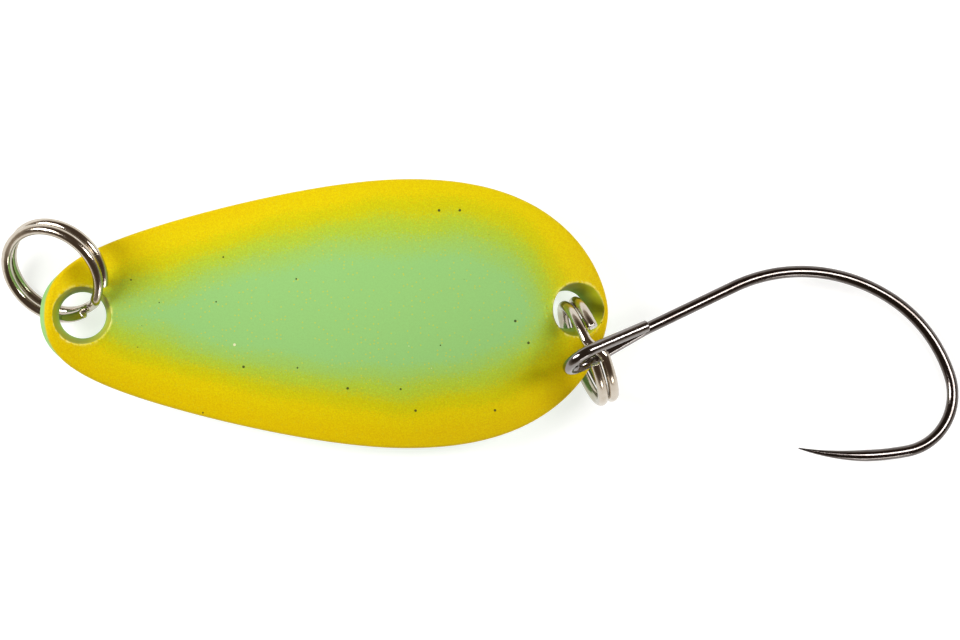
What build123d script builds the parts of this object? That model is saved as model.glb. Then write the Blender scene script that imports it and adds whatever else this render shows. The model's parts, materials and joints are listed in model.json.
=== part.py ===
"""Small trout spoon: a pressed and painted metal blade with a split ring at each end and one barbless
hook on the rear ring.

Millimetres and degrees, +Z up.  The spoon lies crown up on a table, its length along X and its nose
towards -X.  It is first laid out from the tip of the nose, with the blade's centreline on the X axis.
At the end all of it is moved together, so that the origin is under the middle of its bounding box.
"""
from build123d import *
from math import acos, asin, atan2, comb, cos, degrees, radians, sin
import os

# ---------------------------------------------------------------- blade
blade_length = 26.8         # of the crown face, before its rim is rounded
blade_width = 13.05
blade_thickness = 1.3
rim_round = 0.3             # rounding of the outer rim, both faces
widest_from_nose = 17.2
nose_fullness = 3.3         # length of the outline's handle, so larger is blunter
tail_fullness = 1.35
front_side_handle = 5.9     # how far each side runs straight, ahead of the widest point and behind it
rear_side_handle = 3.7
shoulder_from_nose = 3.1
shoulder_inset = 2.85       # from the widest line
hip_from_tail = 1.3
hip_inset = 0.7             # from the widest line

# Heights of the crown face along the centreline, as the handles of one smooth curve at even steps from
# nose to tail: the nose lifts, a dip follows it, the back rises to its crest behind the middle, and
# the tail turns down.
spine_handles = [2.95, 1.85, -0.05, 6.15, 3.95, 4.45, 1.85]
press_overrun = 0.4         # that curve starts this far ahead of the nose and ends as far past the tail
# Radius of the crown across the blade, at the nose, in the middle and at the tail.
nose_crown = 9.0
middle_crown = 13.0
tail_crown = 8.0

# ---------------------------------------------------------------- split rings
ring_wire = 0.5
ring_radius = 2.415         # to the middle of the wire
coil_gap = 0.05             # between the two coils
jog_half_angle = 14.0       # the wire steps from one coil to the other over twice this
start_gap_angle = 3.0       # from the step to the end of the upper coil
end_gap_angle = 11.0        # from the step to the end of the lower coil

# How each ring lies.  Its axis leans from the vertical on a bearing.  Angles round the ring run from
# its uphill side: the step between the coils, and the point that is in the hole.
front_ring_lean = 41.0
front_ring_bearing = 229.6
front_ring_jog = -89.0
front_ring_in_hole = -93.5
front_rim_reach = 1.7       # from the hole to where the ring lies over the rim
front_ring_lift = front_rim_reach**2 / 2 / ring_radius - 0.478      # a tighter ring stands higher over it
front_ring_off_hole = (0.43, 0.48, front_ring_lift)     # the ring's wire from the middle of its hole
rear_ring_lean = 81.0
rear_ring_bearing = 201.3
rear_ring_jog = 0.0
rear_ring_in_hole = 106.5
rear_rim_reach = 2.3
rear_ring_drop = rear_rim_reach**2 / 2 / ring_radius - 0.895        # a tighter ring hangs lower under it
rear_ring_off_hole = (-0.2, 0.14, -rear_ring_drop)

# ---------------------------------------------------------------- holes
ring_stack = 2 * ring_wire + coil_gap       # across both coils
# A ring curves as it passes through the sheet, so its hole is wider than its stack, by this much for
# each unit of the sheet's thickness over the ring's radius.
front_hole_ease = 2.155
rear_hole_ease = 1.45
front_hole_slack = front_hole_ease * blade_thickness / ring_radius      # small end, over the stack
rear_hole_slack = rear_hole_ease * blade_thickness / ring_radius
front_hole_flare = 0.55                     # large end, at the crown face, over the small end
rear_hole_flare = 0.8
front_hole_from_nose = 1.8
rear_hole_from_tail = 1.82
rear_hole_offset = 0.15                     # off the centreline
front_hole_lean = 0.0                       # of the drill from the vertical, towards the tail
rear_hole_lean = 28.0

# ---------------------------------------------------------------- hook
hook_wire = 0.56
eye_slack = 0.2             # between the ring's stack and the inside of the eye, all round
eye_radius = ring_stack / 2 + eye_slack + hook_wire / 2     # to the middle of the wire
eye_neck = 3.17             # from the middle of the eye to where its wire ends on the shank
eye_twist = 14.0            # of the eye about the shank
eye_end_rise = 0.5          # of the eye's cut end above the middle of the shank
neck_bend = 1.5             # radius of the bend from the lower strand into the shank
shank_length = 8.1          # from the middle of the eye to the start of the bend
hook_bends = [(8.1, 58.0), (6.6, 40.0), (2.85, 96.0), (13.0, 9.0)]      # radius and turn of each arc
point_bend = (13.0, 15.0)   # radius and turn over which the point tapers
point_diameter = 0.06       # at the very tip
hook_bearing = 25.3         # of the shank, seen from above
eye_round_ring = -4.2       # where the eye sits, round the ring from its uphill side
ring_in_eye_along = 0.53    # the ring's stack from the middle of the eye, towards the shank
ring_in_eye_up = 0.12       # and upwards


def bezier(handles, t):
    """Value at t, from 0 to 1, of the curve with these handles."""
    n = len(handles) - 1
    return sum(comb(n, i) * t**i * (1 - t) ** (n - i) * h for i, h in enumerate(handles))


def crown_handles():
    """Curvature across the blade, as handles at the same even steps as the spine's."""
    ends_and_middle = [1 / nose_crown, 1 / middle_crown, 1 / tail_crown]
    steps = len(spine_handles) - 1
    return [bezier(ends_and_middle, i / steps) for i in range(steps + 1)]


def crown_face_height(x, y):
    """Height of the blade's crown face at x, y: the spine, less a parabola across the blade."""
    t = (x + press_overrun) / (blade_length + 2 * press_overrun)
    return bezier(spine_handles, t) - y * y * bezier(crown_handles(), t) / 2


def crown_face():
    """The pressed surface as one smooth patch, a little larger than the blade each way."""
    reach = blade_width / 2 + press_overrun
    step = (blade_length + 2 * press_overrun) / (len(spine_handles) - 1)
    rows = []
    for i, (height, curvature) in enumerate(zip(spine_handles, crown_handles())):
        drop = reach * reach * curvature / 2
        x = i * step - press_overrun
        rows.append([(x, -reach, height - drop), (x, 0, height + drop), (x, reach, height - drop)])
    return Face.make_bezier_surface(rows)


def blade_outline():
    """The blank seen from above: on each side one curve from the nose to the widest point and one from
    there to the tail, square to the centreline where they meet it."""
    half = blade_width / 2
    edges = []
    for side in (1, -1):
        widest = (widest_from_nose, side * half)
        edges.append(
            Bezier(
                (0, 0),
                (0, side * nose_fullness),
                (shoulder_from_nose, side * (half - shoulder_inset)),
                (widest_from_nose - front_side_handle, side * half),
                widest,
            )
        )
        edges.append(
            Bezier(
                widest,
                (widest_from_nose + rear_side_handle, side * half),
                (blade_length - hip_from_tail, side * (half - hip_inset)),
                (blade_length, side * tail_fullness),
                (blade_length, 0),
            )
        )
    return make_face(Wire(edges))


def drill(middle, lean, small, flare):
    """A tapered drill through the sheet with its middle at that point, its foot leaning to the nose."""
    slope = flare / 2 / blade_thickness
    radius = (small + flare / 2) / 2
    reach = blade_thickness
    cone = Solid.make_cone(radius - slope * reach, radius + slope * reach, 2 * reach)
    axis = Vector(sin(radians(lean)), 0, cos(radians(lean)))
    return Plane(origin=middle - axis * reach, z_dir=axis).location * cone


def hole_middle(x, y):
    """The middle of the sheet's thickness at x, y."""
    return Vector(x, y, crown_face_height(x, y) - blade_thickness / 2)


front_hole = hole_middle(front_hole_from_nose, 0)
rear_hole = hole_middle(blade_length - rear_hole_from_tail, rear_hole_offset)


def make_blade():
    """The blank's outline pressed to shape, given its thickness, rounded along its rims and drilled."""
    prism = extrude(Pos(0, 0, -blade_width) * blade_outline(), amount=2 * blade_width)
    sheet = crown_face().intersect(prism)[0]
    blade = Solid.thicken(sheet, blade_thickness, normal_override=(0, 0, -1))
    rims = [edge for edge in blade.edges() if edge.length > 2 * blade_thickness]
    blade = blade.fillet(rim_round, rims)
    blade -= drill(front_hole, front_hole_lean, ring_stack + front_hole_slack, front_hole_flare)
    blade -= drill(rear_hole, rear_hole_lean, ring_stack + rear_hole_slack, rear_hole_flare)
    return blade


def leaning_frame(lean, bearing):
    """Axis of a ring that leans on a bearing, and its two directions: uphill, and a quarter turn on."""
    tilt, turn = radians(lean), radians(bearing)
    axis = Vector(sin(tilt) * cos(turn), sin(tilt) * sin(turn), cos(tilt))
    uphill = Vector(-cos(tilt) * cos(turn), -cos(tilt) * sin(turn), sin(tilt))
    return axis, uphill, axis.cross(uphill)


def ring_direction(lean, bearing, angle):
    """Direction from the middle of a leaning ring to the point at that angle from its uphill side."""
    axis, uphill, onward = leaning_frame(lean, bearing)
    return uphill * cos(radians(angle)) + onward * sin(radians(angle))


def ring_middle(hole, off_hole, lean, bearing, in_hole):
    """Middle of the ring whose wire passes through a hole at the point `in_hole` round it."""
    return hole + Vector(*off_hole) - ring_direction(lean, bearing, in_hole) * ring_radius


def round_ring(angle, height):
    """Point of the wire's middle line at an angle from the step, in the ring's own frame."""
    return Vector(ring_radius * cos(radians(angle)), ring_radius * sin(radians(angle)), height)


def make_split_ring():
    """Two flat coils of one wire.  The upper coil runs clockwise to the step, which drops to the
    lower coil over a short arc, and the ends are cut close on each side of the step."""
    half_pitch = (ring_wire + coil_gap) / 2
    first = jog_half_angle
    upper = CenterArc((0, 0, half_pitch), ring_radius, first, 360 - 2 * first - start_gap_angle)
    lower = CenterArc((0, 0, -half_pitch), ring_radius, first + end_gap_angle, 360 - 2 * first - end_gap_angle)
    tangents = [Vector(sin(radians(a)), -cos(radians(a)), 0) for a in (first, -first)]
    step = Spline(round_ring(first, half_pitch), round_ring(-first, -half_pitch), tangents=tangents)
    path = Wire([upper, step, lower])
    section = Plane(origin=path @ 0, z_dir=path % 0) * Circle(ring_wire / 2)
    return sweep(section, path=path)


def place_ring(ring, middle, lean, bearing, jog):
    """The ring moved to its middle, with its step at that angle from its uphill side."""
    axis = leaning_frame(lean, bearing)[0]
    return Plane(origin=middle, x_dir=ring_direction(lean, bearing, jog), z_dir=axis).location * ring


def onward_arc(edge, radius, turn):
    """The arc that carries the wire's line on from an edge, turning clockwise."""
    return JernArc(start=edge @ 1, tangent=edge % 1, radius=radius, arc_size=-turn)


def wire_along(path):
    """Round hook wire swept along its middle line."""
    return sweep(Plane(origin=path @ 0, z_dir=path % 0) * Circle(hook_wire / 2), path=path)


def eye_lines():
    """Middle line of the eye, flat in its own plane with the shank along +X.  The wire's cut end lies
    on top of the shank, and from there it runs back, round, and half way along the lower strand; the
    second line takes it on from there into the shank."""
    end = Vector(eye_neck, eye_end_rise)
    upper_touch = degrees(atan2(end.Y, end.X) + acos(eye_radius / end.length))
    lower_touch = 360 - degrees(acos(eye_radius / eye_neck))
    loop = CenterArc((0, 0), eye_radius, upper_touch, lower_touch - upper_touch)
    half_way = (loop @ 1 + Vector(eye_neck, 0)) / 2
    round_line = Wire([Line(end, loop @ 0), loop, Line(loop @ 1, half_way)])
    into_shank = FilletPolyline(half_way, (eye_neck, 0), (shank_length, 0), radius=neck_bend)
    return round_line, into_shank


def bend_lines():
    """Middle line of the bend in the hook's plane, as tangent arcs, and that of the tapering point."""
    edge = Line((eye_neck + neck_bend, 0), (shank_length, 0))
    arcs = []
    for radius, turn in hook_bends:
        edge = onward_arc(edge, radius, turn)
        arcs.append(edge)
    return arcs, onward_arc(edge, *point_bend)


def make_hook():
    """One wire in the hook's own frame: the middle of the eye is the origin, the shank runs along +X
    and the bend turns towards -Y.  The eye stands nearly upright on the plane of the bend."""
    twist = radians(eye_twist)
    eye_plane = Plane(origin=(0, 0, 0), x_dir=(1, 0, 0), z_dir=(0, -cos(twist), sin(twist)))
    round_line, into_shank = (eye_plane.location * line for line in eye_lines())
    arcs, point_line = bend_lines()
    sections = [
        Plane(origin=point_line @ 0, z_dir=point_line % 0) * Circle(hook_wire / 2),
        Plane(origin=point_line @ 1, z_dir=point_line % 1) * Circle(point_diameter / 2),
    ]
    point = sweep(sections, path=point_line, multisection=True)
    return wire_along(round_line) + wire_along(Wire([*into_shank.edges(), *arcs])) + point


def place_hook(hook, on_ring):
    """The hook with its eye on the ring's wire at that point and its bend down on the table."""
    twist = radians(eye_twist)
    reach = max(arc.bounding_box().max.X for arc in bend_lines()[0]) - ring_in_eye_along
    slope = asin((on_ring.Z - ring_in_eye_up - hook_wire / 2) / reach)
    turn = radians(hook_bearing)
    shank = Vector(cos(slope) * cos(turn), cos(slope) * sin(turn), -sin(slope))
    upward = Vector(sin(slope) * cos(turn), sin(slope) * sin(turn), cos(slope))
    aside = upward.cross(shank)
    eye_up = upward * cos(twist) + aside * sin(twist)
    middle = on_ring - shank * ring_in_eye_along - eye_up * ring_in_eye_up
    return Plane(origin=middle, x_dir=shank, z_dir=upward).location * hook


front_middle = ring_middle(
    front_hole, front_ring_off_hole, front_ring_lean, front_ring_bearing, front_ring_in_hole
)
rear_middle = ring_middle(
    rear_hole, rear_ring_off_hole, rear_ring_lean, rear_ring_bearing, rear_ring_in_hole
)
hook_on_ring = rear_middle + ring_direction(rear_ring_lean, rear_ring_bearing, eye_round_ring) * ring_radius

split_ring = make_split_ring()
pieces = {
    "spoon_blade": make_blade(),
    "front_split_ring": place_ring(
        split_ring, front_middle, front_ring_lean, front_ring_bearing, front_ring_jog
    ),
    "rear_split_ring": place_ring(
        split_ring, rear_middle, rear_ring_lean, rear_ring_bearing, rear_ring_jog
    ),
    "hook": place_hook(make_hook(), hook_on_ring),
}

whole = Compound(children=[Compound(piece.solids()) for piece in pieces.values()]).bounding_box()
to_origin = Vector(-whole.center().X, -whole.center().Y, -whole.min.Z)

os.makedirs("parts", exist_ok=True)
for name, piece in pieces.items():
    export_step(Pos(*to_origin) * piece, f"parts/{name}.step")
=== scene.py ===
"""The looks of a small trout spoon: a sprayed metal blade, two split rings and a barbless hook.

Lengths in the sections of the pieces are in millimetres and angles in degrees, as on a maker's drawing,
and are turned into metres when a mesh is made.  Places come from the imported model's joints and mounts.
"""
import json
from math import acos, asin, atan2, comb, cos, degrees, hypot, pi, radians, sin

import bmesh
import bpy
import numpy as np
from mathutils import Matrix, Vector


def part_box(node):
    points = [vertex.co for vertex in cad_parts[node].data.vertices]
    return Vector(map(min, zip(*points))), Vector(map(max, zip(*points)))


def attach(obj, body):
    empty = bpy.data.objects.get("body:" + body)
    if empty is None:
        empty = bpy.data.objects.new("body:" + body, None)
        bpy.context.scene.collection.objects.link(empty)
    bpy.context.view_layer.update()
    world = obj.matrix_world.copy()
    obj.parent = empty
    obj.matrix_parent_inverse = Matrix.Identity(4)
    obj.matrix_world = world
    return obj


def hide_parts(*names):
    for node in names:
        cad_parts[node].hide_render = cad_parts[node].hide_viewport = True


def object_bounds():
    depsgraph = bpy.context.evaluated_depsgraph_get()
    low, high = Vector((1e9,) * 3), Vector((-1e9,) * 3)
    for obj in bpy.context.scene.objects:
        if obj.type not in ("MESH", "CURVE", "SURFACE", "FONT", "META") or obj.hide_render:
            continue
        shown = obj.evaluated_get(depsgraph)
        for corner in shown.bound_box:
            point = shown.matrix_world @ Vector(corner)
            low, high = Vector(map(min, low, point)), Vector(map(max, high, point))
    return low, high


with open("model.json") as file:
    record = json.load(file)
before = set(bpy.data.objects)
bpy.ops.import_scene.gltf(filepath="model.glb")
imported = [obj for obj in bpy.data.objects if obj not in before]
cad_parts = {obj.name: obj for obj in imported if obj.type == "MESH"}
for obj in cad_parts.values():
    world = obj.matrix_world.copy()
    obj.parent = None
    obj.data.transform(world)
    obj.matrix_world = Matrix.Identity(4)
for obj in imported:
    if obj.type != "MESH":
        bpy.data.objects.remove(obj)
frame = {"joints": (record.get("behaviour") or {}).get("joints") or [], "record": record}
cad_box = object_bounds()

MM = 0.001

# ---------------------------------------------------------------- table, lights and camera
# The lure lies on a plain white table that is lit from below as well, so that shadows on it stay faint.
# Tall softboxes stand at its left and right, a small strip in front, and a wide fill leans in from
# behind, under a dim warm ceiling: the bright wire mirrors all but the fill.
table_half = 1.5                # metres
view_over_length = 1.0045       # width of the camera's view over the length of the lure
camera_height = 1.1             # metres: far off, as through a long macro lens
camera_roll = -0.3
camera_forward = 0.035          # millimetres along +Y, from over the lure's middle


def new_material(name):
    """An empty node material with its Principled shader and a coordinate in millimetres."""
    material = bpy.data.materials.new(name)
    material.use_nodes = True
    tree = material.node_tree
    tree.nodes.clear()
    output = tree.nodes.new("ShaderNodeOutputMaterial")
    shader = tree.nodes.new("ShaderNodeBsdfPrincipled")
    tree.links.new(shader.outputs[0], output.inputs[0])
    coordinate = tree.nodes.new("ShaderNodeTexCoord")
    scale = tree.nodes.new("ShaderNodeVectorMath")
    scale.operation = "SCALE"
    scale.inputs["Scale"].default_value = 1 / MM
    tree.links.new(coordinate.outputs["Object"], scale.inputs[0])
    return material, tree, shader, scale.outputs[0]


def put(tree, value, socket):
    """Links value to a socket if it is one itself, and otherwise sets it there."""
    if isinstance(value, bpy.types.NodeSocket):
        tree.links.new(value, socket)
    else:
        socket.default_value = value


def noise(tree, place, scale, detail=3.0, rough=0.55):
    """Smooth noise, about 0.5 on average, `scale` lumps to the unit of place."""
    node = tree.nodes.new("ShaderNodeTexNoise")
    put(tree, place, node.inputs["Vector"])
    node.inputs["Scale"].default_value = scale
    node.inputs["Detail"].default_value = detail
    node.inputs["Roughness"].default_value = rough
    return node.outputs["Fac"]


def spread(tree, value, low, high, to_low=0.0, to_high=1.0):
    """value, from low to high, spread smoothly over to_low to to_high."""
    node = tree.nodes.new("ShaderNodeMapRange")
    node.interpolation_type = "SMOOTHSTEP"
    put(tree, value, node.inputs["Value"])
    node.inputs["From Min"].default_value = low
    node.inputs["From Max"].default_value = high
    node.inputs["To Min"].default_value = to_low
    node.inputs["To Max"].default_value = to_high
    return node.outputs["Result"]


def blend_colour(tree, share, a, b):
    """Colour a, going over to b as share goes from 0 to 1."""
    node = tree.nodes.new("ShaderNodeMix")
    node.data_type = "RGBA"
    put(tree, share, node.inputs["Factor"])
    put(tree, a, node.inputs["A"])
    put(tree, b, node.inputs["B"])
    return node.outputs["Result"]


def softbox(name, place, aim, width, height, watts):
    """A lit panel at place, facing aim, in metres."""
    light = bpy.data.lights.new(name, "AREA")
    light.shape = "RECTANGLE"
    light.size = width
    light.size_y = height
    light.energy = watts
    panel = bpy.data.objects.new(name, light)
    panel.location = place
    panel.rotation_euler = (Vector(aim) - Vector(place)).to_track_quat("-Z", "Y").to_euler()
    panel.visible_camera = False
    bpy.context.scene.collection.objects.link(panel)
    return panel


table_mesh = bpy.data.meshes.new("table")
corners = [(-table_half, -table_half, 0), (table_half, -table_half, 0),
           (table_half, table_half, 0), (-table_half, table_half, 0)]
table_mesh.from_pydata(corners, [], [(0, 1, 2, 3)])
table = bpy.data.objects.new("table", table_mesh)
bpy.context.scene.collection.objects.link(table)
white, tree, shader, place = new_material("white_table")
put(tree, blend_colour(tree, noise(tree, place, 0.05), (0.44, 0.44, 0.44, 1), (0.40, 0.40, 0.40, 1)),
    shader.inputs["Base Color"])
shader.inputs["Roughness"].default_value = 0.8
shader.inputs["Specular IOR Level"].default_value = 0.1
shader.inputs["Emission Color"].default_value = (1.0, 1.0, 0.99, 1)
shader.inputs["Emission Strength"].default_value = 0.72
table_mesh.materials.append(white)

softbox("left_softbox", (-0.222, 0.045, 0.185), (0, 0, 0), 0.10, 0.14, 0.80)
softbox("right_softbox", (0.190, 0.055, 0.215), (0, 0, 0), 0.09, 0.13, 0.52)
softbox("front_strip", (0.118, -0.256, 0.058), (0, 0, 0), 0.12, 0.05, 0.12)
fill = softbox("back_fill", (0.0, 0.26, 0.24), (0, 0, 0), 0.34, 0.16, 0.18)
fill.visible_glossy = False

world = bpy.data.worlds.new("warm_ceiling")
world.use_nodes = True
room = world.node_tree
height = room.nodes.new("ShaderNodeSeparateXYZ")
room.links.new(room.nodes.new("ShaderNodeTexCoord").outputs["Generated"], height.inputs[0])
put(room, blend_colour(room, spread(room, height.outputs["Z"], 0.02, 0.45), (0.46, 0.40, 0.33, 1),
                       (0.080, 0.055, 0.038, 1)), room.nodes["Background"].inputs["Color"])
bpy.context.scene.world = world

lens = bpy.data.cameras.new("camera")
camera = bpy.data.objects.new("camera", lens)
view_width = view_over_length * (cad_box[1].x - cad_box[0].x)
lens.sensor_width = 36.0
lens.lens = lens.sensor_width * camera_height / view_width
lens.clip_end = 10.0
camera.location = (0.0, camera_forward * MM, camera_height)
camera.rotation_euler = (0, 0, radians(camera_roll))
bpy.context.scene.collection.objects.link(camera)
bpy.context.scene.camera = camera
bpy.context.scene.view_settings.view_transform = "Standard"


# ---------------------------------------------------------------- blade
# One blank of sheet brass, pressed to a crowned teardrop with a hole drilled at each end, primed mint
# green all over and then sprayed yellow from its edge inwards on the crown face.  Paint has gathered
# in a lip round each hole, coloured a paler yellow that is partly a painted highlight along it,
# and a split ring hangs loose in each.
blade_length = 26.8
blade_width = 13.05
sheet = 1.3
rim_round = 0.26
widest = 17.2
nose_fullness, tail_fullness = 3.3, 1.35
front_side_handle, rear_side_handle = 5.9, 3.7
shoulder = (3.1, 2.85)          # from the nose, and in from the widest line
hip = (1.3, 0.7)                # from the tail, and in from the widest line
spine_handles = [2.95, 1.85, -0.05, 6.15, 3.95, 4.45, 1.85]
spine_overrun = 0.4
crown_radii = [9.0, 13.0, 8.0]  # across the blade at the nose, in the middle and at the tail

# The rings' own sizes come first, because each hole is drilled to clear both coils of its ring.
ring_wire = 0.5
ring_radius = 2.415
coil_gap = 0.05
ring_stack = 2 * ring_wire + coil_gap

# Each hole: its middle along and across the blade, the small end of its taper, how much wider it is at
# the crown face, and how far its drill leant towards the tail.
front_hole = dict(x=1.8, y=0.0, small=ring_stack + 2.155 * sheet / ring_radius, flare=0.55, lean=0.0)
rear_hole = dict(x=blade_length - 1.82, y=0.15, small=ring_stack + 1.45 * sheet / ring_radius,
                 flare=0.8, lean=28.0)
drill_rounds = 14               # guesses at each point of a hole's wall


def bezier(handles, t):
    """The point, or number, at t from 0 to 1 on the curve with these handles."""
    handles = np.asarray(handles, float)
    n = len(handles) - 1
    t = np.asarray(t, float)
    total = 0
    for i, handle in enumerate(handles):
        share = comb(n, i) * t**i * (1 - t) ** (n - i)
        total = total + (share[..., None] * handle if handle.ndim else share * handle)
    return total


def crown_height(x, y):
    """Height of the crown face: the spine's curve, less a parabola across the blade whose curvature
    goes smoothly from the nose's to the tail's."""
    t = (x + spine_overrun) / (blade_length + 2 * spine_overrun)
    steps = len(spine_handles) - 1
    curvatures = bezier([1 / r for r in crown_radii], np.arange(steps + 1) / steps)
    return bezier(spine_handles, t) - y * y * bezier(curvatures, t) / 2


def sheet_point(q, depth):
    """The point in the sheet under plan point q, at a depth square to the crown face, and that face's
    normal there."""
    x, y = q[..., 0], q[..., 1]
    e = 1e-3
    slope_x = (crown_height(x + e, y) - crown_height(x - e, y)) / (2 * e)
    slope_y = (crown_height(x, y + e) - crown_height(x, y - e)) / (2 * e)
    normal = np.stack([-slope_x, -slope_y, np.ones_like(x)], -1)
    normal /= np.linalg.norm(normal, axis=-1, keepdims=True)
    face = np.stack([x, y, crown_height(x, y)], -1)
    return face - normal * np.asarray(depth, float)[..., None], normal


def half_outline(side, count=1500):
    """One side of the blank in plan, from nose to tail: two curves that meet at the widest point."""
    half = blade_width / 2
    t = np.linspace(0, 1, count)
    fore = bezier([(0, 0), (0, nose_fullness), (shoulder[0], half - shoulder[1]),
                   (widest - front_side_handle, half), (widest, half)], t)
    aft = bezier([(widest, half), (widest + rear_side_handle, half),
                  (blade_length - hip[0], half - hip[1]), (blade_length, tail_fullness),
                  (blade_length, 0)], t)
    line = np.concatenate([fore, aft[1:]])
    line[:, 1] *= side
    return line


def along(line, shares):
    """Points of a line at these shares of its length."""
    length = np.concatenate([[0], np.cumsum(np.linalg.norm(np.diff(line, axis=0), axis=1))])
    return np.stack([np.interp(shares * length[-1], length, line[:, i]) for i in range(line.shape[1])], -1)


def drill_wall(hole, depth, round_angle):
    """Plan points, for each depth in the sheet and angle round the drill, whose points in the sheet lie
    on the drill's cone: each guess is moved by what its point misses the cone by, until it is there."""
    lean = radians(hole["lean"])
    axis = np.array([sin(lean), 0, cos(lean)])
    across = np.array([cos(lean), 0, -sin(lean)])
    middle = np.array([hole["x"], hole["y"], crown_height(hole["x"], hole["y"]) - sheet / 2])
    turn = np.radians(round_angle)
    way = np.cos(turn)[..., None] * across + np.sin(turn)[..., None] * np.array([0, 1.0, 0])
    q = middle[:2] + way[..., :2] * hole["small"] / 2
    for _ in range(drill_rounds):
        point, _normal = sheet_point(q, depth)
        off = point - middle
        height = off @ axis
        radius = (hole["small"] + hole["flare"] / 2) / 2 + hole["flare"] / 2 / sheet * height
        q = q + (radius[..., None] * way - (off - height[..., None] * axis))[..., :2]
    return q


# The lip of paint round a hole, from outside inwards: how far out from the hole's edge, how high above
# the crown face, and how much its paler colour, partly a painted highlight, shows.  Then the depths of the
# rows down the wall, the first two with a little of that colour, and the foot: how far out, and how deep.
lip_reach = 0.3
lip_profile = [(0.30, 0.0), (0.24, 0.004), (0.18, 0.014), (0.13, 0.026), (0.09, 0.034), (0.055, 0.034),
               (0.025, 0.022), (0.006, 0.0)]
lip_share = [0.0, 0.0, 0.05, 0.15, 0.4, 0.8, 1.0, 1.0]
wall_depths = [0.03, 0.08, 0.16, 0.3, 0.5, 0.7, 0.9, 1.05, 1.16, 1.23]
wall_share = [0.7, 0.25]
foot_profile = [(0.01, 1.275), (0.04, 1.295), (0.10, 1.3)]
bead_width = 3.2                # of a bead on the lip, in degrees round the hole
bead_angles = {"front": [148, 163, 176, 189, 204, 308, 322], "rear": [38, 62, 118]}


def lip_room(q, outline_points):
    """How much of the lip's full reach there is room for, between a hole's edge and the blade's rim."""
    gap = np.linalg.norm(q[:, None] - outline_points, axis=-1).min(-1) - rim_round
    return np.clip(0.75 * gap / lip_reach, 0.03, 1)


def hole_rows(hole, round_angle, beads, outline_points):
    """The surface of one hole, as rows of points round it: the paint's lip on the crown face, with a
    few beads on it, the tapered wall, and the rounded foot.  Also each row's plan points and depths."""
    none = np.zeros_like(round_angle)
    edge = drill_wall(hole, none, round_angle)
    foot = drill_wall(hole, none + sheet, round_angle)
    room = lip_room(edge, outline_points)
    outward = np.stack([np.cos(np.radians(round_angle)), np.sin(np.radians(round_angle))], -1)
    bead = sum(np.exp(-((((round_angle - a) + 180) % 360 - 180) / bead_width) ** 2) for a in beads)
    rows = []
    for out, rise in lip_profile:
        rows.append((edge + outward * (out * room)[:, None], none - rise * (0.7 + 0.9 * bead) * room))
    for depth in wall_depths:
        rows.append((drill_wall(hole, none + depth, round_angle), none + depth))
    for out, depth in foot_profile:
        rows.append((foot + outward * out, none + depth))
    q = np.stack([row[0] for row in rows])
    depth = np.stack([row[1] for row in rows])
    return sheet_point(q, depth)[0], q, depth


def make_mesh(name, patches, to_metres):
    """One closed mesh from patches.  Each is a grid of points with, for every named attribute, a number
    for each point.  Grid neighbours make a four-sided face, and edges that meet are joined."""
    points, faces, numbers = [], [], {}
    start = 0
    for grid, values in patches:
        rows, cols = grid.shape[:2]
        index = start + np.arange(rows * cols).reshape(rows, cols)
        around = [index[:-1, :-1], index[:-1, 1:], index[1:, 1:], index[1:, :-1]]
        faces.append(np.stack(around, -1).reshape(-1, 4))
        points.append(grid.reshape(-1, 3))
        for key, value in values.items():
            numbers.setdefault(key, []).append(np.broadcast_to(value, (rows, cols)).reshape(-1))
        start += rows * cols
    mesh = bpy.data.meshes.new(name)
    places = to_metres(np.concatenate(points))
    mesh.from_pydata(places.tolist(), [], np.concatenate(faces).tolist())
    for key, value in numbers.items():
        attribute = mesh.attributes.new(key, "FLOAT", "POINT")
        attribute.data.foreach_set("value", np.concatenate(value).astype(np.float32))
    work = bmesh.new()
    work.from_mesh(mesh)
    bmesh.ops.remove_doubles(work, verts=work.verts, dist=5e-7)
    bmesh.ops.dissolve_degenerate(work, edges=work.edges, dist=1e-8)
    bmesh.ops.recalc_face_normals(work, faces=work.faces)
    work.to_mesh(mesh)
    work.free()
    mesh.shade_smooth()
    piece = bpy.data.objects.new(name, mesh)
    bpy.context.scene.collection.objects.link(piece)
    return piece


def edge_outward(line, side):
    """Directions square to an outline in plan, away from the blade."""
    onward = np.gradient(line, axis=0)
    outward = np.stack([-onward[:, 1], onward[:, 0]], -1) * side
    outward[0], outward[-1] = (-1, 0), (1, 0)
    return outward / np.linalg.norm(outward, axis=1, keepdims=True)


def rim_rows(line):
    """The blade's edge along one side, as rows from the crown face to the underside: a quarter circle, a
    straight wall square to the sheet, and a quarter circle, each carried out from the line along the
    normal's cross product with the line."""
    face, normal = sheet_point(line, np.zeros(len(line)))
    onward = np.gradient(face, axis=0)
    onward[0] = onward[-1] = (0, np.sign(line[len(line) // 2, 1]), 0)
    onward[-1] *= -1
    outward = np.cross(onward, normal)
    outward /= np.linalg.norm(outward, axis=1, keepdims=True)
    middle = np.array([widest, 0.0, 0.0])
    outward *= np.sign(np.sum(outward * (face - middle), axis=1))[:, None]
    upper = [(rim_round * sin(a), rim_round * (1 - cos(a))) for a in np.linspace(0, pi / 2, 8)]
    wall = [(rim_round, depth) for depth in np.linspace(rim_round, sheet - rim_round, 5)[1:-1]]
    lower = [(out, sheet - depth) for out, depth in upper[::-1]]
    profile = upper + wall + lower
    grid = np.stack([face + outward * out - normal * depth for out, depth in profile])
    depths = np.array([depth for _, depth in profile])
    return grid, np.broadcast_to(depths[:, None], grid.shape[:2])


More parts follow.
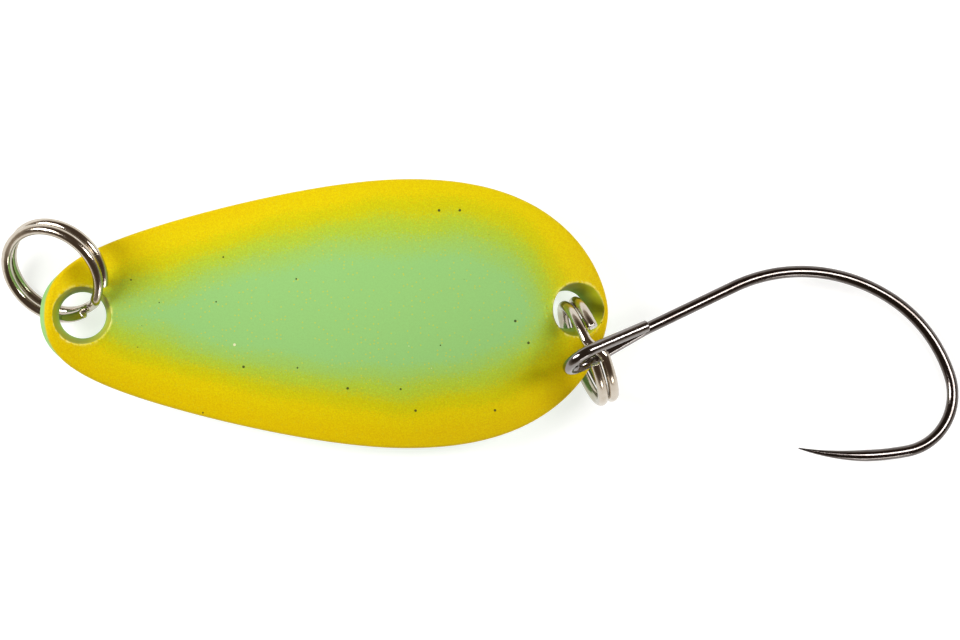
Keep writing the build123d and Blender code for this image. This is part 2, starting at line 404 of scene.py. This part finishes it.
def blade_patches():
    """Crown face and underside as ruled grids, one for each side, from the holes and the line between
    them to the rim, then the rims and the holes.  Every point carries how far in from the blank's edge
    it is, its depth in the sheet, how much the lip's colour shows and whether it is on a hole's wall."""
    n_hole, n_line, n_rows = 44, 120, 40
    patches = []
    outlines = {side: half_outline(side) for side in (1, -1)}
    edge_points = np.concatenate([line[::6] for line in outlines.values()])

    def paint_numbers(q, depth, lip=0.0, wall=0.0):
        gap = np.linalg.norm(q[..., None, :] - edge_points, axis=-1).min(-1)
        return {"from_edge": gap, "sheet_depth": depth, "lip": lip, "hole_wall": wall}

    for side, line in outlines.items():
        inset = line - rim_round * edge_outward(line, side)
        fore_turn = np.linspace(180, 0, n_hole + 1) * side
        end_of_nose, start_of_tail = 0.16, 0.84
        shares = np.concatenate([
            np.linspace(0, end_of_nose, n_hole + 1),
            np.linspace(end_of_nose, start_of_tail, n_line + 1)[1:-1],
            np.linspace(start_of_tail, 1, n_hole + 1)])
        outer = along(inset, shares)
        outer[0, 1] = outer[-1, 1] = 0
        for depth, reach in ((0.0, lip_reach), (sheet, foot_profile[-1][0])):
            ends = []
            for hole in (front_hole, rear_hole):
                rim = drill_wall(hole, np.full(n_hole + 1, depth), fore_turn)
                turn = np.radians(fore_turn)
                room = lip_room(rim, edge_points) if depth == 0 else np.ones(n_hole + 1)
                ends.append(rim + (reach * room)[:, None] * np.stack([np.cos(turn), np.sin(turn)], -1))
            t = np.linspace(0, 1, n_line + 1)[1:-1, None]
            inner = np.concatenate([ends[0], ends[0][-1] * (1 - t) + ends[1][0] * t, ends[1]])
            w = np.linspace(0, 1, n_rows + 1)[:, None, None]
            q = inner * (1 - w) + outer * w
            depths = np.full(q.shape[:2], depth)
            patches.append((sheet_point(q, depths)[0], paint_numbers(q, depths)))
        grid, depths = rim_rows(outer)
        values = paint_numbers(outer, np.zeros(len(outer)))
        values["from_edge"] = np.broadcast_to(values["from_edge"], depths.shape)
        values["sheet_depth"] = depths
        patches.append((grid, values))
    round_angle = np.linspace(0, 360, 2 * n_hole + 1)
    for name, hole in (("front", front_hole), ("rear", rear_hole)):
        grid, q, depth = hole_rows(hole, round_angle, bead_angles[name], edge_points)
        lip = np.zeros((len(grid), 1))
        lip[:len(lip_share) + len(wall_share), 0] = lip_share + wall_share
        wall = np.ones((len(grid), 1))
        wall[:len(lip_share)] = wall[-1] = 0
        patches.append((grid, paint_numbers(q, depth, lip, wall)))
    return patches


# Where the rings and the blade lie.  A ring's axis leans from the vertical on a bearing, and angles
# round a ring run from its uphill side.  The front ring's wire passes a little off its hole's middle,
# and higher the tighter the ring, because it curves down from where it lies over the rim.
front_ring_pose = dict(lean=41.0, bearing=229.6, step=-89.0)
rear_ring_pose = dict(lean=81.0, bearing=201.3, step=0.0)
front_ring_in_hole = -93.5
front_rim_reach = 1.7
front_ring_off_hole = np.array([0.43, 0.48, front_rim_reach**2 / 2 / ring_radius - 0.478])


def ring_axes(pose):
    """A leaning ring's axis, its uphill direction, and the direction a quarter turn on."""
    tilt, turn = radians(pose["lean"]), radians(pose["bearing"])
    axis = np.array([sin(tilt) * cos(turn), sin(tilt) * sin(turn), cos(tilt)])
    uphill = np.array([-cos(tilt) * cos(turn), -cos(tilt) * sin(turn), sin(tilt)])
    return axis, uphill, np.cross(axis, uphill)


def ring_way(pose, angle):
    """Direction from a ring's middle to the point at that angle from its uphill side."""
    _, uphill, onward = ring_axes(pose)
    return uphill * cos(radians(angle)) + onward * sin(radians(angle))


line_tie = frame["record"]["mounts"][0]
tie_way = np.array(line_tie["axis"])
front_middle = np.array(line_tie["pos_m"]) / MM - tie_way * (ring_radius - ring_wire / 2)
wire_in_hole = front_middle + ring_way(front_ring_pose, front_ring_in_hole) * ring_radius
hole_in_frame = wire_in_hole - front_ring_off_hole
hole_on_blade = np.array([front_hole["x"], front_hole["y"],
                          crown_height(front_hole["x"], front_hole["y"]) - sheet / 2])
blade_place = hole_in_frame - hole_on_blade

blade = make_mesh("painted_blade", blade_patches(), lambda p: (p + blade_place) * MM)

mint = (0.265, 0.510, 0.160, 1)
mint_green = (0.300, 0.500, 0.105, 1)
lime = (0.380, 0.500, 0.035, 1)
green_yellow = (0.530, 0.495, 0.004, 1)
yellow = (0.660, 0.515, 0.001, 1)
deep_yellow = (0.670, 0.480, 0.0005, 1)
# gathered paint, paler and whiter than the yellow: partly a painted highlight along the lip
lip_paint_and_highlight = (0.72, 0.68, 0.12, 1)
hole_olive = (0.40, 0.42, 0.012, 1)
droplet = (0.62, 0.52, 0.02, 1)
dark_dust = (0.035, 0.040, 0.012, 1)
pale_dust = (0.75, 0.72, 0.45, 1)
grain_dark = (0.93, 0.86, 0.8, 1)       # the grain multiplies the coat's colour by one of these
grain_light = (1.04, 1.10, 1.0, 1)
mist_reach = 5.0                        # from the edge to where no mist fell, and the colours on the way
mist_stops = [(0.06, deep_yellow), (0.24, yellow), (0.385, green_yellow), (0.53, lime), (0.68, mint_green),
              (0.82, mint)]


def maths(tree, operation, a, b=0.0, c=0.0):
    """One arithmetic step on sockets or numbers."""
    node = tree.nodes.new("ShaderNodeMath")
    node.operation = operation
    for value, socket in zip((a, b, c), node.inputs):
        put(tree, value, socket)
    return node.outputs[0]


def spread_line(tree, value, low, high):
    """value, from low to high, as an even share from 0 to 1."""
    node = tree.nodes.new("ShaderNodeMapRange")
    put(tree, value, node.inputs["Value"])
    node.inputs["From Min"].default_value = low
    node.inputs["From Max"].default_value = high
    return node.outputs["Result"]


def tint_colour(tree, colour, tint):
    """A colour multiplied by a tint."""
    node = tree.nodes.new("ShaderNodeMix")
    node.data_type = "RGBA"
    node.blend_type = "MULTIPLY"
    node.inputs["Factor"].default_value = 1.0
    put(tree, colour, node.inputs["A"])
    put(tree, tint, node.inputs["B"])
    return node.outputs["Result"]


def bump(tree, shader, height, distance, strength=1.0):
    """Raises the surface by height, from 0 to 1, times distance in metres."""
    node = tree.nodes.new("ShaderNodeBump")
    node.inputs["Distance"].default_value = distance
    node.inputs["Strength"].default_value = strength
    put(tree, height, node.inputs["Height"])
    tree.links.new(node.outputs[0], shader.inputs["Normal"])


def attribute(tree, name):
    """A number that the mesh carries at each of its points."""
    node = tree.nodes.new("ShaderNodeAttribute")
    node.attribute_name = name
    return node.outputs["Fac"]


def cell_pattern(tree, place, scale):
    """Random dots seen from above, `scale` to the unit: distance from the nearest, and its own colour."""
    node = tree.nodes.new("ShaderNodeTexVoronoi")
    node.voronoi_dimensions = "2D"
    put(tree, place, node.inputs["Vector"])
    node.inputs["Scale"].default_value = scale
    own = tree.nodes.new("ShaderNodeSeparateColor")
    put(tree, node.outputs["Color"], own.inputs[0])
    return node.outputs["Distance"], own.outputs


def blade_paint():
    """Mint primer under a yellow mist that thickens towards the edge, with its droplets, a fine orange
    peel, specks of dust and a glossier lip of gathered paint round the holes, coloured paler as a painted
    highlight."""
    material, tree, shader, place = new_material("sprayed_paint")
    from_edge, depth = attribute(tree, "from_edge"), attribute(tree, "sheet_depth")
    lip, in_hole = attribute(tree, "lip"), attribute(tree, "hole_wall")

    # how far in from the edge, as the mist sees it: it drifts, and reached further in on the -Y side
    drift = maths(tree, "MULTIPLY_ADD", noise(tree, place, 0.22, 1.0), 1.3, -0.65)
    grain = maths(tree, "MULTIPLY_ADD", noise(tree, place, 14.0, 2.0, 0.7), 1.5, -0.75)
    across = tree.nodes.new("ShaderNodeSeparateXYZ")
    put(tree, place, across.inputs[0])
    lean = maths(tree, "MULTIPLY_ADD", across.outputs["Y"], 0.075, drift)
    mist = maths(tree, "ADD", maths(tree, "ADD", from_edge, lean), grain)
    ramp = tree.nodes.new("ShaderNodeValToRGB")
    ramp.color_ramp.interpolation = "EASE"
    elements = ramp.color_ramp.elements
    for element, (share, colour) in zip(elements, mist_stops):
        element.position = share
        element.color = colour
    for share, colour in mist_stops[2:]:
        elements.new(share).color = colour
    put(tree, spread_line(tree, mist, 0.0, mist_reach), ramp.inputs["Fac"])
    colour = ramp.outputs["Color"]

    # droplets of the mist that landed in the mint
    distance, own = cell_pattern(tree, place, 5.0)
    rare = maths(tree, "GREATER_THAN", own["Red"], 0.80)
    drop = maths(tree, "MULTIPLY", maths(tree, "LESS_THAN", distance, 0.17), rare)
    colour = blend_colour(tree, maths(tree, "MULTIPLY", drop, 0.55), colour, droplet)

    # the grain of the sprayed coat
    speckle = spread(tree, noise(tree, place, 15.0, 2.0, 0.7), 0.34, 0.66)
    coat = spread(tree, mist, 2.2, 4.2, 1.0, 0.25)
    speckled = tint_colour(tree, colour, blend_colour(tree, speckle, grain_dark, grain_light))
    colour = blend_colour(tree, coat, colour, speckled)

    # the yellow stops at the top of the rim, and thins down the walls of the holes
    uneven = maths(tree, "MULTIPLY_ADD", noise(tree, place, 1.5, 2.0), 0.16, -0.08)
    covered = spread(tree, maths(tree, "ADD", depth, uneven), 0.12, 0.34, 1.0, 0.0)
    colour = blend_colour(tree, covered, mint, colour)
    patchy = maths(tree, "MULTIPLY", noise(tree, place, 1.1), 0.9)
    thin = spread(tree, maths(tree, "ADD", depth, patchy), 0.8, 1.9)
    colour = blend_colour(tree, in_hole, colour, blend_colour(tree, thin, hole_olive, mint_green))

    # paint gathered at the holes, in a paler yellow that is partly a painted highlight along each lip
    ragged = spread(tree, noise(tree, place, 5.0, 2.0), 0.38, 0.62)
    lip = maths(tree, "MULTIPLY", lip, ragged)
    colour = blend_colour(tree, maths(tree, "MULTIPLY", lip, 0.75), colour, lip_paint_and_highlight)

    # dust in the paint, dark and pale
    distance, own = cell_pattern(tree, place, 0.95)
    size = spread(tree, own["Green"], 0.80, 1.0, 0.0, 0.062)
    speck = maths(tree, "LESS_THAN", distance, size)
    pale = maths(tree, "GREATER_THAN", own["Red"], 0.78)
    colour = blend_colour(tree, maths(tree, "MULTIPLY", speck, 0.9), colour,
                          blend_colour(tree, pale, dark_dust, pale_dust))

    # matt paint with a fine orange peel, and glossier where it gathered
    put(tree, colour, shader.inputs["Base Color"])
    matt = maths(tree, "MULTIPLY_ADD", noise(tree, place, 3.0), 0.18, 0.44)
    put(tree, maths(tree, "SUBTRACT", matt, maths(tree, "MULTIPLY", lip, 0.3)), shader.inputs["Roughness"])
    put(tree, maths(tree, "MULTIPLY_ADD", lip, 0.5, 0.05), shader.inputs["Specular IOR Level"])
    peel = maths(tree, "ADD", noise(tree, place, 9.0, 4.0, 0.6), maths(tree, "MULTIPLY", speck, 0.6))
    peel = maths(tree, "ADD", peel, maths(tree, "MULTIPLY", drop, 0.2))
    bump(tree, shader, peel, 0.012 * MM, 0.8)
    return material


blade.data.materials.append(blade_paint())
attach(blade, "blade")
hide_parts("spoon_blade")


# ---------------------------------------------------------------- split rings
# Each is one length of nickel-plated spring wire, coiled twice round and stepped from one coil to the
# other, with its ends cut off on each side of the step.  The front one hangs in the nose hole, for the
# line, and the rear one in the tail hole, for the hook.
step_half_angle = 14.0
upper_end_gap, lower_end_gap = 3.0, 11.0
wire_sides = 28
ring_points = 520               # along one ring's wire
ring_end_round = 0.05
nickel_base = (0.56, 0.505, 0.43, 1)
nickel_warm = (0.47, 0.405, 0.325, 1)
nickel_dull = (0.32, 0.26, 0.20, 1)
nickel_cut = (0.85, 0.82, 0.76, 1)


def tube_patch(line, radius, side_way, round_ends):
    """A round wire along a line of points: at each point a circle of that radius, square to the line,
    counted from the side way.  The ends close with a small round and a flat.  Each point carries how
    far along the wire it is, and how much it is on a cut end."""
    onward = np.gradient(line, axis=0)
    onward /= np.linalg.norm(onward, axis=1, keepdims=True)
    across = side_way - np.sum(side_way * onward, axis=1, keepdims=True) * onward
    across /= np.linalg.norm(across, axis=1, keepdims=True)
    upward = np.cross(onward, across)
    length = np.concatenate([[0], np.cumsum(np.linalg.norm(np.diff(line, axis=0), axis=1))])
    turn = np.linspace(0, 2 * pi, wire_sides + 1)
    circle = np.cos(turn)[:, None, None] * across + np.sin(turn)[:, None, None] * upward
    circle = circle.transpose(1, 0, 2)
    rows = [line[:, None] + circle * radius[:, None, None]]
    lengths, cuts = [length], [np.zeros(len(line))]
    bevels = [(share, sin(acos(share))) for share in (0.97, 0.9, 0.8)]
    for at, way in ((0, -1), (-1, 1)):
        outward = way * onward[at] * round_ends
        cap = [line[at] + outward * rise + circle[at] * (radius[at] - round_ends * (1 - share))
               for share, rise in bevels]
        last = line[at] + outward * bevels[-1][1]
        flat = radius[at] - round_ends * (1 - bevels[-1][0])
        cap += [last + circle[at] * flat * share for share in (0.6, 0.3, 0.0)]
        cap = np.stack(cap)
        if way < 0:
            rows.insert(0, cap[::-1])
            lengths.insert(0, np.full(len(cap), length[at]))
            cuts.insert(0, np.array([1.0, 1, 1, 1, 0.5, 0]))
        else:
            rows.append(cap)
            lengths.append(np.full(len(cap), length[at]))
            cuts.append(np.array([0, 0.5, 1.0, 1, 1, 1]))
    grid = np.concatenate(rows)
    along_wire = np.broadcast_to(np.concatenate(lengths)[:, None], grid.shape[:2])
    cut = np.broadcast_to(np.concatenate(cuts)[:, None], grid.shape[:2])
    return grid, {"along_wire": along_wire, "cut_end": cut}


def split_ring_line():
    """Middle line of the wire in the ring's own frame: once round on the upper coil, down the step, and
    once round on the lower, with the height a smooth step of the angle."""
    start = 360 - step_half_angle - upper_end_gap
    end = step_half_angle + lower_end_gap - 360
    angle = np.linspace(start, end, ring_points)
    t = np.clip(angle / step_half_angle, -1, 1)
    height = (ring_wire + coil_gap) / 2 * (1.5 * t - 0.5 * t**3)
    turn = np.radians(angle)
    return np.stack([ring_radius * np.cos(turn), ring_radius * np.sin(turn), height], -1)


def make_ring(name, middle, pose):
    """A split ring with its middle there and its step at the pose's angle."""
    axis = ring_axes(pose)[0]
    to_step = ring_way(pose, pose["step"])
    turned = np.stack([to_step, np.cross(axis, to_step), axis])
    line = split_ring_line()
    outward = line * np.array([1, 1, 0])
    grid, values = tube_patch(line, np.full(len(line), ring_wire / 2), outward, ring_end_round)
    return make_mesh(name, [(grid, values)], lambda p: (p @ turned + middle) * MM)


def plated_wire(name, base, tint, dull, rough, bright_cut, eye=None, eye_length=9.0):
    """Plated wire: a colour with patches of a tint, dull in fine spots, rougher in both, bright on its
    cut ends, and, if it has an eye, a paler colour along it that paints the reflection the eye catches."""
    material, tree, shader, place = new_material(name)
    cut = attribute(tree, "cut_end")
    patches = spread(tree, noise(tree, place, 0.9, 3.0), 0.35, 0.7)
    fine = noise(tree, place, 22.0, 3.0, 0.65)
    colour = blend_colour(tree, patches, base, tint)
    colour = blend_colour(tree, maths(tree, "MULTIPLY", spread(tree, fine, 0.55, 0.8), 0.35), colour, dull)
    # painted reflection: the eye's plating is made paler to stand in for the light it reflects
    if eye:
        painted_eye_reflection = spread(tree, attribute(tree, "along_wire"), eye_length, eye_length + 1.5, 1.0, 0.0)
        colour = blend_colour(tree, painted_eye_reflection, colour, eye)
    colour = blend_colour(tree, cut, colour, bright_cut)
    put(tree, colour, shader.inputs["Base Color"])
    shader.inputs["Metallic"].default_value = 1.0
    wear = maths(tree, "MULTIPLY_ADD", patches, 0.06, rough)
    wear = maths(tree, "ADD", wear, maths(tree, "MULTIPLY", spread(tree, fine, 0.5, 0.8), 0.08))
    put(tree, maths(tree, "ADD", wear, maths(tree, "MULTIPLY", cut, 0.12)), shader.inputs["Roughness"])
    height = maths(tree, "ADD", maths(tree, "MULTIPLY", fine, 0.5), noise(tree, place, 4.0, 2.0))
    bump(tree, shader, height, 0.006 * MM, 0.6)
    return material


eye_round_ring = -4.2           # where the hook's eye sits, round the rear ring
hook_joint = next(j for j in frame["joints"] if j["name"] == "hook_swing")
on_ring = np.array(hook_joint["pos_m"]) / MM
rear_middle = on_ring - ring_way(rear_ring_pose, eye_round_ring) * ring_radius

nickel = plated_wire("nickel_wire", nickel_base, nickel_warm, nickel_dull, 0.12, nickel_cut)
for name, middle, pose, body in (("front_ring", front_middle, front_ring_pose, "front_ring"),
                                 ("rear_ring", rear_middle, rear_ring_pose, "rear_ring")):
    ring = make_ring(name + "_wire", middle, pose)
    ring.data.materials.append(nickel)
    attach(ring, body)
    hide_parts(name.replace("ring", "split_ring"))


# ---------------------------------------------------------------- hook
# One steel wire, bent round into a teardrop eye that lies against the shank, then a long bend and a
# smooth barbless point, plated black nickel over all but the eye's cut end.  Its eye hangs on the
# rear ring.
hook_wire = 0.56
eye_slack = 0.2                 # round both coils of the ring
eye_radius = ring_stack / 2 + eye_slack + hook_wire / 2
eye_neck = 3.17
eye_twist = 14.0
eye_end_rise = 0.5
neck_bend = 1.5
shank_length = 8.1
hook_bends = [(8.1, 58.0), (6.6, 40.0), (2.85, 96.0), (13.0, 9.0)]      # radius and turn of each arc
point_bend = (13.0, 15.0)
point_diameter = 0.06
point_power = 1.3               # above 1, so the point is a little fuller than a cone
hook_bearing = 25.3
ring_in_eye = (0.53, 0.12)      # the ring's wire from the middle of the eye, along the shank and up
hook_end_round = 0.03
black_base = (0.155, 0.138, 0.130, 1)
black_warm = (0.105, 0.088, 0.080, 1)
black_dull = (0.05, 0.042, 0.038, 1)
black_cut = (0.75, 0.72, 0.68, 1)
black_eye_reflection = (0.24, 0.22, 0.21, 1)       # a paler copy of the plating along the eye: a painted reflection


def run_line(start, heading, runs, step=0.04):
    """A flat line of runs, each with its length and how far it turns, in degrees: the heading is the
    running sum of the turns, and the points are the running sum of small steps that way."""
    headings, lengths = [np.array([heading])], [np.array([0.0])]
    for length, turn in runs:
        count = max(8, int(length / step))
        headings.append(headings[-1][-1] + np.linspace(0, turn, count + 1)[1:])
        lengths.append(lengths[-1][-1] + np.linspace(0, length, count + 1)[1:])
    heading = np.radians(np.concatenate(headings))
    length = np.concatenate(lengths)
    middle = (heading[1:] + heading[:-1]) / 2
    steps = np.diff(length)[:, None] * np.stack([np.cos(middle), np.sin(middle)], -1)
    return np.asarray(start) + np.concatenate([[[0, 0]], np.cumsum(steps, axis=0)]), length


def arc(radius, turn):
    """The run of an arc of that radius: its length and turn."""
    return radius * radians(abs(turn)), turn


def hook_line():
    """Middle line of the wire and its radius, in the hook's own frame: the eye's middle is the origin,
    the shank runs along +X and the bend turns towards -Y.  The eye stands up on the bend's plane.  The
    radius falls short of the wire's by a power of how far along the taper it is.  Also the way that the
    wire's section is counted from, and how far along X the bend reaches."""
    reach = hypot(eye_neck, eye_end_rise)
    upper_touch = degrees(atan2(eye_end_rise, eye_neck) + acos(eye_radius / reach))
    strand_slope = degrees(asin(eye_radius / eye_neck))
    round_eye = 270 + strand_slope - upper_touch
    strand = eye_radius / np.tan(radians(strand_slope))
    tuck = neck_bend * np.tan(radians(strand_slope / 2))
    flat, length = run_line((eye_neck, eye_end_rise), upper_touch + 90, [
        (reach * sin(acos(eye_radius / reach)), 0),
        arc(eye_radius, round_eye),
        (strand - tuck, 0),
        arc(neck_bend, -strand_slope),
        (shank_length - eye_neck - tuck, 0)])
    twist = radians(eye_twist)
    eye = flat[:, :1] * np.array([1.0, 0, 0]) + flat[:, 1:] * np.array([0, sin(twist), cos(twist)])
    arcs = [arc(r, -turn) for r, turn in hook_bends + [point_bend]]
    bend, more = run_line((shank_length, 0), 0, arcs)
    bend = np.concatenate([bend, np.zeros((len(bend), 1))], axis=1)
    line = np.concatenate([eye, bend[1:]])
    total = np.concatenate([length, length[-1] + more[1:]])
    taper = point_bend[0] * radians(point_bend[1])
    left = np.clip((total[-1] - total) / taper, 0, 1)
    radius = point_diameter / 2 + (hook_wire - point_diameter) / 2 * (1 - (1 - left) ** point_power)
    section_turn = 4.0              # of the shank, over which the section's side goes from the eye's to up
    side = np.clip((total - length[-1] + section_turn) / section_turn, 0, 1)[:, None] * (pi / 2)
    side_way = np.cos(side) * np.array([0, cos(twist), -sin(twist)]) + np.sin(side) * np.array([0, 0, 1.0])
    return line, radius, side_way, bend[:, 0].max()


# The bend rests on the table, so the shank slopes down to it from the ring.
line, radius, side_way, bend_reach = hook_line()
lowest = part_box("hook")[0].z / MM
slope = asin((on_ring[2] - ring_in_eye[1] - hook_wire / 2 - lowest) / (bend_reach - ring_in_eye[0]))
turn = radians(hook_bearing)
shank_way = np.array([cos(slope) * cos(turn), cos(slope) * sin(turn), -sin(slope)])
up_way = np.array([sin(slope) * cos(turn), sin(slope) * sin(turn), cos(slope)])
aside_way = np.cross(up_way, shank_way)
eye_up = up_way * cos(radians(eye_twist)) + aside_way * sin(radians(eye_twist))
eye_middle = on_ring - shank_way * ring_in_eye[0] - eye_up * ring_in_eye[1]
hook_axes = np.stack([shank_way, aside_way, up_way])
grid, values = tube_patch(line, radius, side_way, hook_end_round)
hook = make_mesh("barbless_hook", [(grid, values)], lambda p: (p @ hook_axes + eye_middle) * MM)
black_nickel = plated_wire("black_nickel", black_base, black_warm, black_dull, 0.10, black_cut, black_eye_reflection)
hook.data.materials.append(black_nickel)
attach(hook, "hook")
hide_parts("hook")
